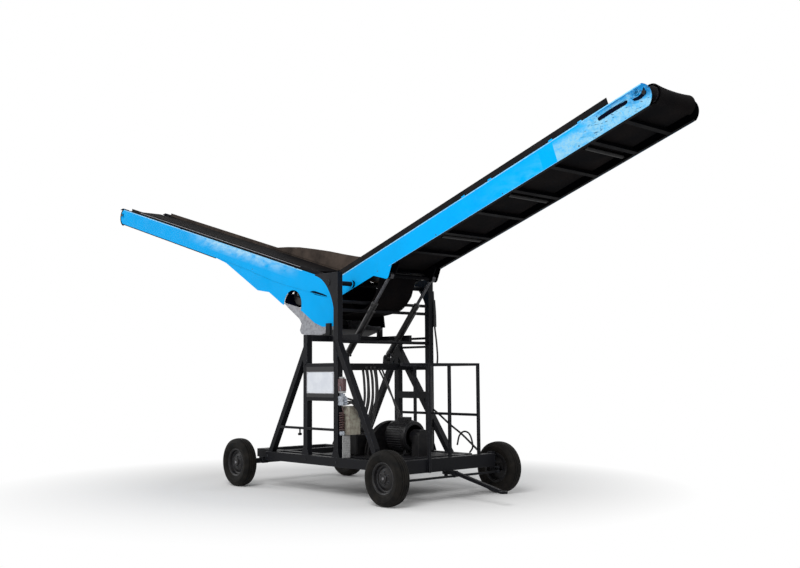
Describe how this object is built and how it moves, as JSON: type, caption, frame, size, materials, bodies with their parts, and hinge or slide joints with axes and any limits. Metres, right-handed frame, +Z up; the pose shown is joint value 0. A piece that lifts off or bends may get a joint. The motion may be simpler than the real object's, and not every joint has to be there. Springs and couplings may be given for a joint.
{
  "type": "folding belt conveyor",
  "caption": "Wheeled belt conveyor with two blue trough booms meeting in a V above a black tubular gantry, one boom raised by twin cylinders, four tyres and a towing bar.",
  "frame": {"origin": "on the floor, midway between the two ends and between the two sides", "axes": "+X along the booms towards the raised right boom and the towing bar, +Y to the far side, +Z up"},
  "size_m": [11.0051, 2.0602, 4.4266],
  "materials": {
    "blue_paint": "satin",
    "black_steel": "satin",
    "belt_rubber": "matte",
    "tyre_rubber": "matte",
    "rim_steel": "satin",
    "bare_steel": "satin",
    "grey_sheet": "matte",
    "white_sheet": "satin"
  },
  "bodies": {
    "chassis": {"base_frame": "black_steel", "near_side_frame": "black_steel", "far_side_frame": "black_steel", "gantry_bars": "black_steel", "lift_beam": "black_steel", "hinge_shaft": "bare_steel", "rear_axle": "black_steel", "guard_rail": "black_steel", "left_boom_frame": "blue_paint", "left_skirts": "black_steel", "left_belt": "belt_rubber", "left_rollers": "bare_steel", "tail_drum": "bare_steel", "drive_drum": "bare_steel", "drum_guard": "grey_sheet", "oil_tank": "black_steel", "motor": "black_steel", "pump": "black_steel", "control_box": "black_steel", "valve_block": "grey_sheet", "blank_plate": "white_sheet"},
    "boom": {"right_boom_frame": "blue_paint", "right_skirts": "black_steel", "right_belt": "belt_rubber", "head_drum": "bare_steel", "right_rollers": "bare_steel"},
    "near_cylinder": {"near_barrel": "black_steel"},
    "far_cylinder": {"far_barrel": "black_steel"},
    "near_ram": {"near_rod": "bare_steel"},
    "far_ram": {"far_rod": "bare_steel"},
    "near_steer_knuckle": {"near_knuckle": "black_steel"},
    "far_steer_knuckle": {"far_knuckle": "black_steel"},
    "towing_bar": {"drawbar": "black_steel"},
    "track_rod": {"tie_rod": "black_steel"},
    "near_front_wheel": {"near_front_tyre": "tyre_rubber", "near_front_rim": "rim_steel"},
    "far_front_wheel": {"far_front_tyre": "tyre_rubber", "far_front_rim": "rim_steel"},
    "near_rear_wheel": {"near_rear_tyre": "tyre_rubber", "near_rear_rim": "rim_steel"},
    "far_rear_wheel": {"far_rear_tyre": "tyre_rubber", "far_rear_rim": "rim_steel"}
  },
  "joints": [
    {"name": "boom_lift", "type": "hinge", "parent": "chassis", "child": "boom", "pos_m": [0.99605, 0, 2.64], "axis": [0, -1, 0], "range_deg": [-26, 8]},
    {"name": "near_cylinder_swing", "type": "hinge", "parent": "chassis", "child": "near_cylinder", "pos_m": [0.76605, -0.356, 1.71], "axis": [0, -1, 0], "range_deg": [-9.5, 3.3]},
    {"name": "near_ram_stroke", "type": "slide", "parent": "near_cylinder", "child": "near_ram", "axis": [0.6622, 0, 0.7494], "range_m": [-0.233, 0.079]},
    {"name": "far_cylinder_swing", "type": "hinge", "parent": "chassis", "child": "far_cylinder", "pos_m": [0.76605, 0.356, 1.71], "axis": [0, -1, 0], "range_deg": [-9.5, 3.3]},
    {"name": "far_ram_stroke", "type": "slide", "parent": "far_cylinder", "child": "far_ram", "axis": [0.6622, 0, 0.7494], "range_m": [-0.233, 0.079]},
    {"name": "steering", "type": "hinge", "parent": "chassis", "child": "towing_bar", "pos_m": [2.22605, 0, 0.325], "axis": [0, 0, 1], "range_deg": [-15, 15]},
    {"name": "near_kingpin", "type": "hinge", "parent": "chassis", "child": "near_steer_knuckle", "pos_m": [2.22605, -0.78, 0.32], "axis": [0, 0, 1], "range_deg": [-15.5, 15.5]},
    {"name": "far_kingpin", "type": "hinge", "parent": "chassis", "child": "far_steer_knuckle", "pos_m": [2.22605, 0.78, 0.32], "axis": [0, 0, 1], "range_deg": [-15.5, 15.5]},
    {"name": "track_rod_pin", "type": "hinge", "parent": "near_steer_knuckle", "child": "track_rod", "pos_m": [2.35605, -0.78, 0.285], "axis": [0, 0, 1], "range_deg": [-15.5, 15.5]},
    {"name": "near_front_wheel_spin", "type": "hinge", "parent": "near_steer_knuckle", "child": "near_front_wheel", "pos_m": [2.22605, -0.94, 0.32], "axis": [0, 1, 0], "continuous": true},
    {"name": "far_front_wheel_spin", "type": "hinge", "parent": "far_steer_knuckle", "child": "far_front_wheel", "pos_m": [2.22605, 0.94, 0.32], "axis": [0, 1, 0], "continuous": true},
    {"name": "near_rear_wheel_spin", "type": "hinge", "parent": "chassis", "child": "near_rear_wheel", "pos_m": [-0.79395, -0.94, 0.32], "axis": [0, 1, 0], "continuous": true},
    {"name": "far_rear_wheel_spin", "type": "hinge", "parent": "chassis", "child": "far_rear_wheel", "pos_m": [-0.79395, 0.94, 0.32], "axis": [0, 1, 0], "continuous": true}
  ],
  "couplings": [
    {"joint": "near_cylinder_swing", "follows": "boom_lift", "ratio": 0.3478},
    {"joint": "near_ram_stroke", "follows": "boom_lift", "m_per_rad": 0.4918},
    {"joint": "far_cylinder_swing", "follows": "boom_lift", "ratio": 0.3478},
    {"joint": "far_ram_stroke", "follows": "boom_lift", "m_per_rad": 0.4918},
    {"joint": "near_kingpin", "follows": "steering", "ratio": 1},
    {"joint": "far_kingpin", "follows": "steering", "ratio": 1},
    {"joint": "track_rod_pin", "follows": "steering", "ratio": -1}
  ]
}
